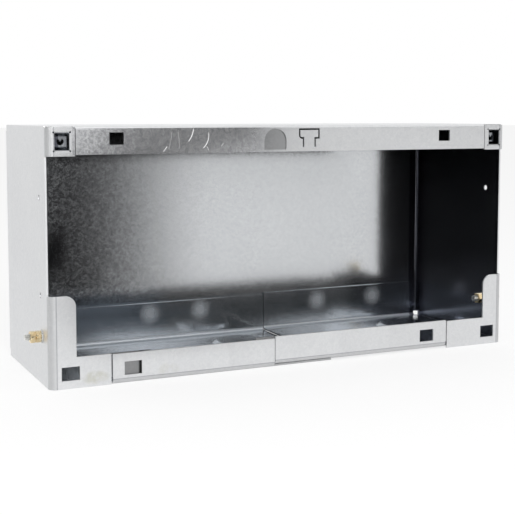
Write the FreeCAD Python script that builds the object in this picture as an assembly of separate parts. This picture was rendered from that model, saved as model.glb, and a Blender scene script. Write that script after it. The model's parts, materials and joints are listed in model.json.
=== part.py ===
import FreeCAD, Part
import math
import os
from FreeCAD import Vector

# Flush back box for a wall, folded from galvanised sheet steel.
# The back, the top and the two end walls are one folded sheet. The bottom is two folded plates
# that lap behind the front flange. An earth stud with nuts and washers goes through each end wall.
# Millimetres, +Z up, the open front faces -Y, and the origin is at the middle of the footprint.

# The box
box_width = 400.0
box_height = 190.0
box_depth = 134.0
sheet = 1.5
fold_radius = 3.5
seam_gap = 0.5
corner_relief = 1.5
relief_height = 6.0

# The end walls' front folds: a tab at the top, and an ear that stands on a long foot
ear_radius = 5.5
tab_width = 21.0
tab_height = 21.0
tab_drop = 0.5
ear_width = 20.0
left_ear_height = 68.0
right_ear_height = 60.0
ear_corner_radius = 8.0
foot_height = 23.0
left_foot_length = 46.0
right_foot_length = 57.0
left_foot_tongue = 30.0
right_foot_tongue = 11.0
joggle_run = 1.2

# The screw bridge that is lanced out of each tab and pushed inwards
bridge_from_side = 11.5
bridge_width = 11.0
bridge_height = 13.5
bridge_flat = 7.5
bridge_push = 5.0
bridge_bend = 1.5
bridge_relief = 1.2
bridge_hole_diameter = 5.2
bridge_tooth_width = 3.6

# The top flange, its D-shaped knockout and its T-shaped tongue
top_flange_height = 20.5
top_fold_radius = 2.5
arch_from_left = 180.3
arch_width = 19.0
arch_height = 16.3
arch_foot = 1.6
arch_push = 1.1
tee_from_left = 210.0
tee_foot = 3.4
tee_height = 14.6
tee_bar_width = 18.4
tee_bar_height = 8.2
tee_stem_width = 11.6
tee_round = 3.0
tee_slit = 1.3

# The cover's square holes
top_hole_width = 11.0
top_hole_height = 9.0
top_hole_rise = 11.4
top_hole_from_left = 52.0
top_hole_from_right = 62.5
low_hole_width = 13.5
low_hole_height = 10.0
low_hole_rise = 11.0
foot_hole_from_side = 15.5
plate_hole_from_left = 63.0
plate_hole_from_right = 77.6

# The two bottom plates, each with a round pad pressed up out of its floor
plate_flange_height = 22.5
upstand_height = 34.0
lap_from_left = 180.0
lap_tongue = 16.0
lap_strip = 12.0
lap_joggle_run = 0.5
seam_from_left = 232.0
pad_diameter = 50.0
pad_height = 2.5
pad_slope = 4.5
pad_from_front = 87.0
left_pad_from_left = 190.0
right_pad_from_right = 45.0

# The fixing holes in the end walls: two in the left one, one in the right one
wall_hole_diameter = 4.3
wall_hole_from_front = 24.0
left_upper_hole_rise = 138.0
left_lower_hole_rise = 66.0
right_hole_rise = 134.0

# The earth studs
stud_diameter = 5.0
stud_reach = 13.0
stud_from_front = 22.0
stud_height = 36.0
stud_chamfer = 0.6
stud_hole_clearance = 0.15
thread_clearance = 0.05
nut_flats = 8.0
nut_thickness = 4.0
nut_bevel = 0.7
washer_diameter = 10.0
washer_thickness = 1.0

# Two points closer than this are the same point
near = 0.01

# Places worked out from the sizes above
half_width = box_width / 2
front = -box_depth / 2
back = box_depth / 2
inner_side = half_width - sheet
inner_back = back - sheet
top_flange_bottom = box_height - top_flange_height
tab_top = box_height - tab_drop
tab_bottom = tab_top - tab_height
lap_x = lap_from_left - half_width
seam_x = seam_from_left - half_width
right_plate_rise = sheet
floor_front = front + sheet + seam_gap
tongue_bottom = right_plate_rise + fold_radius + seam_gap
stud_y = front + stud_from_front


def corner_turn(before, corner, after):
    """The two unit directions at a corner of a path, and the angle turned to the left."""
    along = Vector(corner[0] - before[0], corner[1] - before[1], 0).normalize()
    onward = Vector(after[0] - corner[0], after[1] - corner[1], 0).normalize()
    turn = math.atan2(along.x * onward.y - along.y * onward.x, along.dot(onward))
    return along, onward, turn


def parallel_path(points, distance):
    """The path that runs to the left of the given one at a constant distance."""
    moved = []
    for index, point in enumerate(points):
        before = points[index - 1] if index > 0 else None
        after = points[index + 1] if index + 1 < len(points) else None
        if before is None or after is None:
            first, last = (point, after) if before is None else (before, point)
            along = Vector(last[0] - first[0], last[1] - first[1], 0).normalize()
            moved.append((point[0] - along.y * distance, point[1] + along.x * distance))
            continue
        along, onward, turn = corner_turn(before, point, after)
        slide = -distance * math.tan(turn / 2)
        moved.append((point[0] - along.y * distance + along.x * slide,
                      point[1] + along.x * distance + along.y * slide))
    return moved


def path_edges(points, radii):
    """Straight runs joined by tangent arcs, one radius for each inner corner."""
    edges = []
    start = Vector(points[0][0], points[0][1], 0)
    for index in range(1, len(points) - 1):
        corner = Vector(points[index][0], points[index][1], 0)
        radius = radii[index - 1]
        if radius <= 0:
            edges.append(Part.LineSegment(start, corner).toShape())
            start = corner
            continue
        along, onward, turn = corner_turn(points[index - 1], points[index], points[index + 1])
        reach = radius * math.tan(abs(turn) / 2)
        arc_start = corner - along * reach
        arc_end = corner + onward * reach
        middle_way = (onward - along).normalize()
        centre_distance = radius / math.cos(turn / 2)
        arc_middle = corner + middle_way * (centre_distance - radius)
        edges.append(Part.LineSegment(start, arc_start).toShape())
        edges.append(Part.Arc(arc_start, arc_middle, arc_end).toShape())
        start = arc_end
    edges.append(Part.LineSegment(start, Vector(points[-1][0], points[-1][1], 0)).toShape())
    return edges


def bent_sheet(points, bends):
    """The section of a bent sheet. Its outer face follows the path, and the sheet lies to the left.

    Each bend is the radius on its outer side, and a bend of 0 is a sharp step.
    """
    near_radii = []
    far_radii = []
    for index, bend in enumerate(bends):
        turn = corner_turn(points[index], points[index + 1], points[index + 2])[2]
        inner = max(bend - sheet, 0)
        near_radii.append(bend if turn > 0 else inner)
        far_radii.append(inner if turn > 0 else bend)
    far_points = parallel_path(points, sheet)
    edges = path_edges(points, near_radii) + path_edges(far_points, far_radii)
    for end in (0, -1):
        near_end = Vector(points[end][0], points[end][1], 0)
        far_end = Vector(far_points[end][0], far_points[end][1], 0)
        edges.append(Part.LineSegment(near_end, far_end).toShape())
    return Part.Face(Part.Wire(Part.__sortEdges__(edges)))


def folded_along_x(points, bends, x_from, x_to):
    """A bent sheet with its section drawn in (y, z), carried along X."""
    section = bent_sheet(points, bends)
    to_side_view = FreeCAD.Matrix(0, 0, 1, x_from, 1, 0, 0, 0, 0, 1, 0, 0, 0, 0, 0, 1)
    return section.transformed(to_side_view).extrude(Vector(x_to - x_from, 0, 0))


def folded_along_z(points, bends, z_from, z_to):
    """A bent sheet with its section drawn in (x, y), carried along Z."""
    section = bent_sheet(points, bends)
    section.translate(Vector(0, 0, z_from))
    return section.extrude(Vector(0, 0, z_to - z_from))


def block(x_range, y_range, z_range):
    """A box between two corners, for plates and cuts."""
    size = [limits[1] - limits[0] for limits in (x_range, y_range, z_range)]
    return Part.makeBox(*size, Vector(x_range[0], y_range[0], z_range[0]))


def mirrored(shape):
    """The same shape on the other side of the box."""
    return shape.mirror(Vector(0, 0, 0), Vector(1, 0, 0))


def joined(shapes):
    """One solid from pieces of the same sheet."""
    solid = shapes[0].multiFuse(shapes[1:]).removeSplitter()
    return solid.Solids[0] if len(solid.Solids) == 1 else solid


def square_hole(x_centre, z_centre, width, height):
    """A cutter for a square hole through the front sheets at one place."""
    x_range = (x_centre - width / 2, x_centre + width / 2)
    z_range = (z_centre - height / 2, z_centre + height / 2)
    return block(x_range, (front - sheet, front + sheet), z_range)


def front_face(edges):
    """A flat face on the front plane, from a closed outline of edges in (x, z)."""
    to_front = FreeCAD.Matrix(1, 0, 0, 0, 0, 0, -1, front, 0, 1, 0, 0, 0, 0, 0, 1)
    return Part.Face(Part.Wire(Part.__sortEdges__(edges))).transformed(to_front)


def closed_outline(points, radii):
    """The edges of a closed outline, starting in the middle of its first run."""
    middle = tuple((a + b) / 2 for a, b in zip(points[-1], points[0]))
    return path_edges([middle] + points + [middle], radii)


def arch_face():
    """The D shape of the knockout in the top flange: flat below, half round above."""
    x_centre = arch_from_left - half_width
    bottom = top_flange_bottom + arch_foot
    spring = bottom + arch_height - arch_width / 2
    left = Vector(x_centre - arch_width / 2, spring, 0)
    right = Vector(x_centre + arch_width / 2, spring, 0)
    crown = Vector(x_centre, bottom + arch_height, 0)
    left_foot = Vector(left.x, bottom, 0)
    right_foot = Vector(right.x, bottom, 0)
    edges = [Part.LineSegment(left_foot, right_foot).toShape(),
             Part.LineSegment(right_foot, right).toShape(),
             Part.Arc(right, crown, left).toShape(),
             Part.LineSegment(left, left_foot).toShape()]
    return front_face(edges)


def tee_face(inset):
    """The T of the tongue. The inset draws its inner edge, which stays joined at the foot."""
    x_centre = tee_from_left - half_width
    bar = tee_bar_width / 2 - inset
    stem = tee_stem_width / 2 - inset
    foot = top_flange_bottom + tee_foot
    shoulder = foot + tee_height - tee_bar_height + inset
    top = foot + tee_height - inset
    points = [(x_centre - stem, foot), (x_centre + stem, foot), (x_centre + stem, shoulder),
              (x_centre + bar, shoulder), (x_centre + bar, top), (x_centre - bar, top),
              (x_centre - bar, shoulder), (x_centre - stem, shoulder)]
    return front_face(closed_outline(points, [0, 0, 0, 0, 0, 0, tee_round - inset, 0]))


def top_flange():
    """The front flange of the top panel, with its holes, knockout and tongue."""
    flange_half = half_width - tab_width - seam_gap
    path = [(front + 2 * fold_radius, box_height), (front, box_height), (front, top_flange_bottom)]
    flange = folded_along_x(path, [top_fold_radius], -flange_half, flange_half)
    hole_z = top_flange_bottom + top_hole_rise
    for x_centre in (top_hole_from_left - half_width, half_width - top_hole_from_right):
        flange = flange.cut(square_hole(x_centre, hole_z, top_hole_width, top_hole_height))
    through = Vector(0, sheet, 0)
    slit = tee_face(0).extrude(through).cut(tee_face(tee_slit).extrude(through))
    flange = flange.cut(slit)
    pushed_in = Vector(0, arch_push, 0)
    slug_back = arch_face()
    slug_back.translate(through)
    return flange.cut(arch_face().extrude(pushed_in)).fuse(slug_back.extrude(pushed_in))


def screw_bridge():
    """The strip of the right tab that carries the cover screw, pushed in between two slits."""
    x_centre = half_width - bridge_from_side
    z_centre = (tab_top + tab_bottom) / 2
    x_range = (x_centre - bridge_width / 2, x_centre + bridge_width / 2)
    deep = front + bridge_push
    root = sheet
    path = [(front, z_centre + bridge_height / 2 + root), (front, z_centre + bridge_height / 2),
            (deep, z_centre + bridge_flat / 2), (deep, z_centre - bridge_flat / 2),
            (front, z_centre - bridge_height / 2), (front, z_centre - bridge_height / 2 - root)]
    strip = folded_along_x(path, [bridge_bend] * 4, *x_range)
    hole_radius = bridge_hole_diameter / 2
    along_y = Vector(0, 1, 0)
    hole = Part.makeCylinder(hole_radius, 2 * sheet, Vector(x_centre, deep - sheet / 2, z_centre), along_y)
    tooth_top = z_centre + hole_radius
    corners = [Vector(x_centre - bridge_tooth_width / 2, deep - sheet, tooth_top),
               Vector(x_centre + bridge_tooth_width / 2, deep - sheet, tooth_top),
               Vector(x_centre, deep - sheet, z_centre)]
    tooth = Part.Face(Part.makePolygon(corners + corners[:1])).extrude(Vector(0, 3 * sheet, 0))
    window_z = (z_centre - bridge_height / 2, z_centre + bridge_height / 2)
    through_tab = (front - sheet, front + 2 * sheet)
    window = block(x_range, through_tab, window_z)
    for x_edge, outward in ((x_range[0], -bridge_relief), (x_range[1], bridge_relief)):
        for z_edge in window_z:
            x_notch = sorted((x_edge, x_edge + outward))
            z_notch = (z_edge - bridge_relief / 2, z_edge + bridge_relief / 2)
            window = window.fuse(block(x_notch, through_tab, z_notch))
    return window, strip.cut(hole.cut(tooth))


def end_wall(ear_height, foot_length, foot_tongue, hole_rises):
    """The right end wall with its tab, screw bridge, ear, foot and holes."""
    side = [(half_width, front + ear_radius), (half_width, back), (half_width - 2 * fold_radius, back)]
    wall = folded_along_z(side, [fold_radius], 0, box_height)

    def front_fold(width, z_from, z_to):
        path = [(half_width - width, front), (half_width, front), (half_width, front + 2 * ear_radius)]
        return folded_along_z(path, [ear_radius], z_from, z_to)

    window, strip = screw_bridge()
    tab = front_fold(tab_width, tab_bottom, tab_top).cut(window)
    ear = front_fold(ear_width, 0, ear_height)
    ear_tip = Vector(half_width - ear_width, front + sheet / 2, ear_height)
    tip_edges = [edge for edge in ear.Edges if edge.CenterOfMass.isEqual(ear_tip, near)]
    ear = ear.makeFillet(ear_corner_radius, tip_edges)
    foot = front_fold(foot_length, 0, foot_height)
    foot_end = half_width - foot_length
    tongue_path = [(foot_end - joggle_run - foot_tongue, front + sheet),
                   (foot_end - joggle_run, front + sheet), (foot_end, front), (foot_end + sheet, front)]
    tongue = folded_along_z(tongue_path, [0, 0], tongue_bottom, foot_height)

    wall = joined([wall, tab, strip, ear, foot, tongue])
    wall = wall.cut(square_hole(half_width - foot_hole_from_side, low_hole_rise,
                                low_hole_width, low_hole_height))
    along_x = Vector(1, 0, 0)
    hole_y = front + wall_hole_from_front
    for rise in hole_rises:
        place = Vector(inner_side - sheet, hole_y, rise)
        wall = wall.cut(Part.makeCylinder(wall_hole_diameter / 2, 3 * sheet, place, along_x))
    place = Vector(inner_side - sheet, stud_y, stud_height)
    stud_hole_radius = stud_diameter / 2 + stud_hole_clearance
    return wall.cut(Part.makeCylinder(stud_hole_radius, 3 * sheet, place, along_x))


def box_body():
    """The back, the top and both end walls, folded from one sheet."""
    fold_line = half_width - fold_radius
    wrap_path = [(back, 0), (back, box_height), (front + fold_radius, box_height)]
    pieces = [folded_along_x(wrap_path, [fold_radius], -fold_line, fold_line), top_flange()]
    side_strip = block((fold_line - sheet, inner_side - seam_gap),
                       (front + fold_radius, back - fold_radius), (box_height - sheet, box_height))
    pieces.append(side_strip)
    pieces.append(mirrored(side_strip))
    pieces.append(end_wall(right_ear_height, right_foot_length, right_foot_tongue, [right_hole_rise]))
    pieces.append(mirrored(end_wall(left_ear_height, left_foot_length, left_foot_tongue,
                                    [left_upper_hole_rise, left_lower_hole_rise])))
    body = joined(pieces)
    corner = fold_radius + corner_relief
    for z_range in ((-sheet, relief_height), (box_height - corner, box_height + sheet)):
        notch = block((half_width - corner, half_width + sheet), (back - corner, back + sheet), z_range)
        body = body.cut(notch).cut(mirrored(notch))
    return body


def trimmed_at_end(plate):
    """A bottom plate with its outer corners cut clear of the end wall's folds."""
    high = upstand_height + 2 * fold_radius
    at_ear = ear_radius + seam_gap
    at_back = fold_radius + corner_relief
    for y_range, reach in (((front - sheet, front + at_ear), at_ear), ((back - at_back, back), at_back)):
        notch = block((half_width - reach, half_width), y_range, (-sheet, high))
        plate = plate.cut(notch).cut(mirrored(notch))
    return plate


def with_raised_pad(plate, x_centre, floor_bottom):
    """A bottom plate with a round pad pressed up out of its floor, with a sloping rim."""
    foot = pad_diameter / 2
    rim = foot + sheet
    path = [(0, pad_height), (foot - pad_slope, pad_height), (foot, 0), (rim, 0)]
    y_centre = front + pad_from_front
    to_upright = FreeCAD.Matrix(1, 0, 0, x_centre, 0, 0, -1, y_centre, 0, 1, 0, floor_bottom, 0, 0, 0, 1)
    section = bent_sheet(path, [0, 0]).transformed(to_upright)
    centre = Vector(x_centre, y_centre, floor_bottom)
    pad = section.revolve(centre, Vector(0, 0, 1), 360)
    opening = Part.makeCylinder(rim, sheet, centre)
    return joined([plate.cut(opening), pad])


def floor_and_upstand(rise, x_from, x_to):
    """The flat floor of a plate and the upstand that lies on the back wall."""
    path = [(floor_front, rise), (inner_back, rise), (inner_back, rise + upstand_height)]
    return folded_along_x(path, [fold_radius], x_from, x_to)


def front_lip(rise, x_from, x_to):
    """The front flange of a plate, with the strip of floor that it is folded from."""
    path = [(front, rise + plate_flange_height), (front, rise), (front + lap_strip, rise)]
    return folded_along_x(path, [fold_radius], x_from, x_to)


def bottom_plate_left():
    """The left plate. Its flange lies in front of the left foot and of the right plate's tongue."""
    floor = floor_and_upstand(0, -inner_side + seam_gap, seam_x - seam_gap / 2)
    flange_start = -half_width + left_foot_length + joggle_run
    plate = joined([floor, front_lip(0, flange_start, lap_x)])
    hole_x = plate_hole_from_left - half_width
    plate = plate.cut(square_hole(hole_x, low_hole_rise, low_hole_width, low_hole_height))
    plate = with_raised_pad(plate, left_pad_from_left - half_width, 0)
    return trimmed_at_end(plate)


def bottom_plate_right():
    """The right plate, one sheet higher. Its flange steps back to lap behind the left plate."""
    rise = right_plate_rise
    floor = floor_and_upstand(rise, seam_x + seam_gap / 2, inner_side - seam_gap)
    flange_end = half_width - right_foot_length - joggle_run
    lip_start = lap_x + lap_joggle_run
    lip = front_lip(rise, lip_start, flange_end)
    tongue_path = [(lap_x - lap_tongue, front + sheet), (lap_x, front + sheet),
                   (lip_start, front), (lip_start + sheet, front)]
    tongue = folded_along_z(tongue_path, [0, 0], tongue_bottom, rise + plate_flange_height)
    plate = joined([floor, lip, tongue])
    hole_x = half_width - plate_hole_from_right
    plate = plate.cut(square_hole(hole_x, rise + low_hole_rise, low_hole_width, low_hole_height))
    plate = with_raised_pad(plate, half_width - right_pad_from_right, rise)
    return trimmed_at_end(plate)


def earth_stud():
    """The right earth stud, a threaded rod with bevelled ends, through the end wall."""
    inner_end = inner_side - stud_reach
    length = 2 * stud_reach + sheet
    place = Vector(inner_end, stud_y, stud_height)
    rod = Part.makeCylinder(stud_diameter / 2, length, place, Vector(1, 0, 0))
    rims = [edge for edge in rod.Edges if isinstance(edge.Curve, Part.Circle)]
    return rod.makeChamfer(stud_chamfer, rims)


def hexagon_nut(x_from):
    """A plain nut on the right stud."""
    corner_radius = nut_flats / math.sqrt(3)
    bore_radius = stud_diameter / 2 + thread_clearance
    centre = Vector(x_from, stud_y, stud_height)
    along_x = Vector(1, 0, 0)
    turns = [math.radians(60 * step) for step in range(7)]
    corners = [centre + Vector(0, math.cos(turn), math.sin(turn)) * corner_radius for turn in turns]
    prism = Part.Face(Part.makePolygon(corners)).extrude(along_x * nut_thickness)
    return prism.cut(Part.makeCylinder(bore_radius, nut_thickness, centre, along_x))


def locknut(x_from, bevelled_x):
    """A nut on the right stud with its corners bevelled at one face."""
    corner_radius = nut_flats / math.sqrt(3)
    centre = Vector(x_from, stud_y, stud_height)
    barrel = Part.makeCylinder(corner_radius, nut_thickness, centre, Vector(1, 0, 0))
    rims = [edge for edge in barrel.Edges if abs(edge.BoundBox.Center.x - bevelled_x) < near]
    return hexagon_nut(x_from).common(barrel.makeChamfer(nut_bevel, rims))


def washer(x_from):
    """A plain washer on the right stud."""
    centre = Vector(x_from, stud_y, stud_height)
    along_x = Vector(1, 0, 0)
    disc = Part.makeCylinder(washer_diameter / 2, washer_thickness, centre, along_x)
    bore_radius = stud_diameter / 2 + stud_hole_clearance
    return disc.cut(Part.makeCylinder(bore_radius, washer_thickness, centre, along_x))


def earth_terminal():
    """The pieces of the right earth terminal, by name."""
    outside = half_width + washer_thickness
    inside = inner_side - washer_thickness
    outer_end = outside + 2 * nut_thickness
    inner_end = inside - 2 * nut_thickness
    return {
        "earth_stud": earth_stud(),
        "earth_washer_outer": washer(half_width),
        "earth_nut_outer": hexagon_nut(outside),
        "earth_locknut_outer": locknut(outside + nut_thickness, outer_end),
        "earth_washer_inner": washer(inside),
        "earth_nut_inner": hexagon_nut(inside - nut_thickness),
        "earth_locknut_inner": locknut(inner_end, inner_end),
    }


def main():
    """Build every piece and write each one to its own file."""
    pieces = {
        "box_body": box_body(),
        "bottom_plate_left": bottom_plate_left(),
        "bottom_plate_right": bottom_plate_right(),
    }
    for name, shape in earth_terminal().items():
        pieces[name + "_right"] = shape
        pieces[name + "_left"] = mirrored(shape)
    os.makedirs("parts", exist_ok=True)
    for name, shape in pieces.items():
        shape.exportStep("parts/" + name + ".step")
        box = shape.BoundBox
        print(name, shape.ShapeType, len(shape.Solids), shape.isValid(), round(shape.Volume, 1),
              [round(value, 2) for value in (box.XMin, box.XMax, box.YMin, box.YMax, box.ZMin, box.ZMax)])


main()
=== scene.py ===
# %% [markdown]
# # A flush back box in galvanised steel
# The real box is folded from thin zinc-coated sheet, with two lapped plates for its bottom and an
# earth stud through each end wall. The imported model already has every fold, hole and lap at its
# real size, so this lesson keeps those shapes and works on edges, threads, finishes and light.

import json
import math
from types import SimpleNamespace

import bpy
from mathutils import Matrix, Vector


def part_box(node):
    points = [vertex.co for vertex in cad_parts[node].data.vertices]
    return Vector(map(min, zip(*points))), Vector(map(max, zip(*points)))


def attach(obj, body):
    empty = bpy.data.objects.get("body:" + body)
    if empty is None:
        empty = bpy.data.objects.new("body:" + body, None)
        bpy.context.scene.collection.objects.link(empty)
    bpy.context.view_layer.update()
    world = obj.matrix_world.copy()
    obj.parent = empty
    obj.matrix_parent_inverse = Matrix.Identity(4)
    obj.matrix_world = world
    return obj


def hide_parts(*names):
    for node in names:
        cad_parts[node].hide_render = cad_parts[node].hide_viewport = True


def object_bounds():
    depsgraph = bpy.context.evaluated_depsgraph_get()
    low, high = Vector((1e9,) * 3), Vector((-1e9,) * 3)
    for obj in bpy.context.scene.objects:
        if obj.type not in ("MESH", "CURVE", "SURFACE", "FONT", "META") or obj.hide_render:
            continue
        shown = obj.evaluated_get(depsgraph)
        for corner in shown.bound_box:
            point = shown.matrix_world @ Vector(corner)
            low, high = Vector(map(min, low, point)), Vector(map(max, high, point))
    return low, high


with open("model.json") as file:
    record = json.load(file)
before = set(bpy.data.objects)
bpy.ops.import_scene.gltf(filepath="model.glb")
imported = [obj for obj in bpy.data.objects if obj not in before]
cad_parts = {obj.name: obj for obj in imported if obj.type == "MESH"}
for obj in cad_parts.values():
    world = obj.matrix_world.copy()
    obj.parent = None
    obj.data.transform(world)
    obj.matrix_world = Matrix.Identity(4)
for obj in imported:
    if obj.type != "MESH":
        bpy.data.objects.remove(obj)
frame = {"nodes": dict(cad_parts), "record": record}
cad_low, cad_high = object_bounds()
bpy.ops.object.select_all(action="DESELECT")
nodes = frame["nodes"]
body_low, body_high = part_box("box_body")
cad_width = body_high.x - body_low.x
slots = {row["node"]: row["material_slot"] for row in frame["record"]["subparts"]}
MM = 0.001
print("nodes:", len(nodes), "box:", [round(side / MM) for side in cad_high - cad_low], "mm")

# %% [markdown]
# ## Modelling helpers
# An operator acts on whatever is selected, so each step first selects one piece and nothing else.
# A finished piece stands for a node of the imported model: the node is hidden, and the piece rides
# on the same body and takes its finish from the same slot.

# %% Helpers for modelling
def only(piece):
    """Select one piece, and nothing else, and make it the active one."""
    bpy.ops.object.select_all(action="DESELECT")
    piece.select_set(True)
    bpy.context.view_layer.objects.active = piece


def apply_modifier(piece, kind, **settings):
    """Add a modifier to a piece, set it and apply it."""
    only(piece)
    modifier = piece.modifiers.new(kind.lower(), kind)
    for option, value in settings.items():
        setattr(modifier, option, value)
    bpy.ops.object.modifier_apply(modifier=modifier.name)


def edit_with(piece, kind, wanted):
    """Go into edit mode with only the wanted faces or edges selected."""
    only(piece)
    bpy.context.tool_settings.mesh_select_mode = (False, kind == "edges", kind == "faces")
    bpy.ops.object.mode_set(mode="EDIT")
    bpy.ops.mesh.select_all(action="DESELECT")
    bpy.ops.object.mode_set(mode="OBJECT")
    for element in piece.data.polygons if kind == "faces" else piece.data.edges:
        element.select = wanted(element)
    bpy.ops.object.mode_set(mode="EDIT")


def stand_for(piece, name, node_name):
    """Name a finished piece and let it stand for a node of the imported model."""
    piece.name = name
    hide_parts(node_name)
    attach(piece, "root")
    finished[name] = (piece, slots[node_name])


finished = {}
print("helpers ready")

# %% [markdown]
# ## Sheets with worked edges
# A sheared edge is never a perfect corner: the blade draws one side round and leaves the other a
# little torn, and that thin strip glints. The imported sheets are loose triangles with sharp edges,
# so a copy of each is joined up, and a Bevel modifier rounds every edge where two faces meet
# steeply. Weighted normals then keep the wide walls flat beside their rounded edges and folds.

# %% The folded body, the bottom plates and the washers
JOIN_WITHIN = 0.03 * MM
EDGE_EASE = 0.1 * MM
EASE_STEPS = 2
STEEP = math.radians(40)


def eased_copy(name, node_name):
    """A copy of a node with its triangles joined and its sharp edges rounded over."""
    piece = bpy.data.objects.new(name, nodes[node_name].data.copy())
    bpy.context.scene.collection.objects.link(piece)
    only(piece)
    bpy.ops.mesh.customdata_custom_splitnormals_clear()
    bpy.ops.object.mode_set(mode="EDIT")
    bpy.ops.mesh.select_all(action="SELECT")
    bpy.ops.mesh.remove_doubles(threshold=JOIN_WITHIN)
    bpy.ops.object.mode_set(mode="OBJECT")
    bpy.ops.object.shade_smooth()
    apply_modifier(piece, "BEVEL", width=EDGE_EASE, segments=EASE_STEPS, limit_method="ANGLE",
                   angle_limit=STEEP, use_clamp_overlap=False)
    apply_modifier(piece, "WEIGHTED_NORMAL", keep_sharp=True)
    stand_for(piece, name, node_name)
    print(name, "faces:", len(piece.data.polygons))


eased_copy("folded_body", "box_body")
eased_copy("left_plate", "bottom_plate_left")
eased_copy("right_plate", "bottom_plate_right")
for side in ("left", "right"):
    for where in ("outer", "inner"):
        eased_copy(f"{where}_washer_{side}", f"earth_washer_{where}_{side}")

# %% [markdown]
# ## Turned blanks
# A stud and a nut both start as something turned on a lathe: a rod whose ends are bevelled, a
# barrel that takes the corners off a hexagon, a drill with a countersink at each end. All three
# are one shape, a round bar along X whose two end lengths taper to another radius, so one function
# makes them from a cylinder by extruding its ends and scaling them.

# %% A round bar with tapered ends
ROUND_SIDES = 48
AXIS_TURN = (0, math.radians(90), 0)
END_FACING = 0.9
SMOOTH_BELOW = math.radians(25)


def turned_bar(radius, length, end_radius, end_length):
    """A round bar along X about the origin, its ends tapering to another radius."""
    straight = length - 2 * end_length
    bpy.ops.object.select_all(action="DESELECT")
    bpy.ops.mesh.primitive_cylinder_add(vertices=ROUND_SIDES, radius=radius, depth=straight,
                                        rotation=AXIS_TURN)
    bar = bpy.context.object
    bpy.ops.object.transform_apply(rotation=True)
    grow = end_radius / radius
    for way in (-1, 1):
        edit_with(bar, "faces", lambda face: way * face.normal.x > END_FACING)
        bpy.ops.mesh.extrude_region_move(TRANSFORM_OT_translate={"value": (way * end_length, 0, 0)})
        bpy.ops.transform.resize(value=(1, grow, grow), center_override=(way * length / 2, 0, 0))
        bpy.ops.object.mode_set(mode="OBJECT")
    return bar


def cut_with(piece, tool, operation):
    """Cut a piece by a tool, or keep what they share, and take the tool away."""
    apply_modifier(piece, "BOOLEAN", operation=operation, object=tool, solver="EXACT")
    bpy.data.objects.remove(tool)


def smooth_and_move(piece, place):
    """Smooth a turned piece and move its mesh, so that its object stays at the origin."""
    only(piece)
    bpy.ops.object.shade_smooth_by_angle(angle=SMOOTH_BELOW)
    bpy.ops.object.mode_set(mode="EDIT")
    bpy.ops.mesh.select_all(action="SELECT")
    bpy.ops.transform.translate(value=place)
    bpy.ops.object.mode_set(mode="OBJECT")


print("turned bars ready")

# %% [markdown]
# ## Threaded studs
# The thread is one V-shaped ridge that climbs by its pitch each turn. It could be drawn as rings,
# but rings don't climb. Here one pitch of the profile is drawn by extruding a single point, and
# the Screw modifier winds it round X. The winding is cut square at both ends, and a bar with
# bevelled tips takes off the sharp start of the thread, as a die does.

# %% One pitch of thread
THREAD_PITCH = 0.8 * MM
THREAD_DEPTH = 0.42 * MM
THREAD_FLAT = 0.12 * MM
THREAD_FLANK = THREAD_PITCH / 2 - THREAD_FLAT
THREAD_OUTLINE = (
    (THREAD_FLAT, 0),
    (THREAD_FLANK, THREAD_DEPTH),
    (THREAD_FLAT, 0),
    (THREAD_FLANK, -THREAD_DEPTH),
)


def thread_outline(turns, radius):
    """One pitch of the thread's outline, drawn from where the winding starts."""
    bpy.ops.object.select_all(action="DESELECT")
    bpy.ops.mesh.primitive_plane_add(size=THREAD_PITCH)
    outline = bpy.context.object
    bpy.ops.object.mode_set(mode="EDIT")
    bpy.ops.mesh.select_mode(type="VERT")
    bpy.ops.mesh.select_all(action="SELECT")
    bpy.ops.mesh.merge(type="CENTER")
    bpy.ops.transform.translate(value=(-turns * THREAD_PITCH / 2, 0, radius - THREAD_DEPTH))
    for along, out in THREAD_OUTLINE:
        bpy.ops.mesh.extrude_region_move(TRANSFORM_OT_translate={"value": (along, 0, out)})
    bpy.ops.object.mode_set(mode="OBJECT")
    return outline


print("thread pitch:", THREAD_PITCH / MM, "mm")

# %% Threaded studs
THREAD_STEPS = 32
THREAD_JOIN = JOIN_WITHIN / 10
CUT_WITHIN = JOIN_WITHIN / 100
TIP_BEVEL = 0.6 * MM
SPARE_TURNS = 2


def cut_square(thread, length):
    """Join a thread's turns and cut it square, half a pitch past each end of its stud."""
    only(thread)
    bpy.ops.object.mode_set(mode="EDIT")
    bpy.ops.mesh.select_all(action="SELECT")
    bpy.ops.mesh.remove_doubles(threshold=THREAD_JOIN)
    for way in (-1, 1):
        bpy.ops.mesh.select_all(action="SELECT")
        end = way * (length / 2 + THREAD_PITCH / 2)
        bpy.ops.mesh.bisect(plane_co=(end, 0, 0), plane_no=(way, 0, 0), use_fill=True, clear_outer=True,
                            threshold=CUT_WITHIN)
    bpy.ops.mesh.select_all(action="SELECT")
    bpy.ops.mesh.normals_make_consistent(inside=False)
    bpy.ops.object.mode_set(mode="OBJECT")


def threaded_stud(name, node_name):
    """A stud with a wound thread, at the place and size of a node."""
    low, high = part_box(node_name)
    length = high.x - low.x
    radius = (high.z - low.z) / 2
    turns = math.ceil(length / THREAD_PITCH) + 2 * SPARE_TURNS
    piece = thread_outline(turns, radius)
    apply_modifier(piece, "SCREW", axis="X", angle=math.tau, screw_offset=THREAD_PITCH, iterations=turns,
                   steps=THREAD_STEPS, render_steps=THREAD_STEPS)
    cut_square(piece, length)
    die = turned_bar(radius + JOIN_WITHIN, length, radius - TIP_BEVEL, TIP_BEVEL)
    cut_with(piece, die, "INTERSECT")
    smooth_and_move(piece, (low + high) / 2)
    stand_for(piece, name, node_name)
    print(name, "turns:", turns - 2 * SPARE_TURNS, "faces:", len(piece.data.polygons))


for side in ("left", "right"):
    threaded_stud(f"threaded_stud_{side}", f"earth_stud_{side}")

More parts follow.
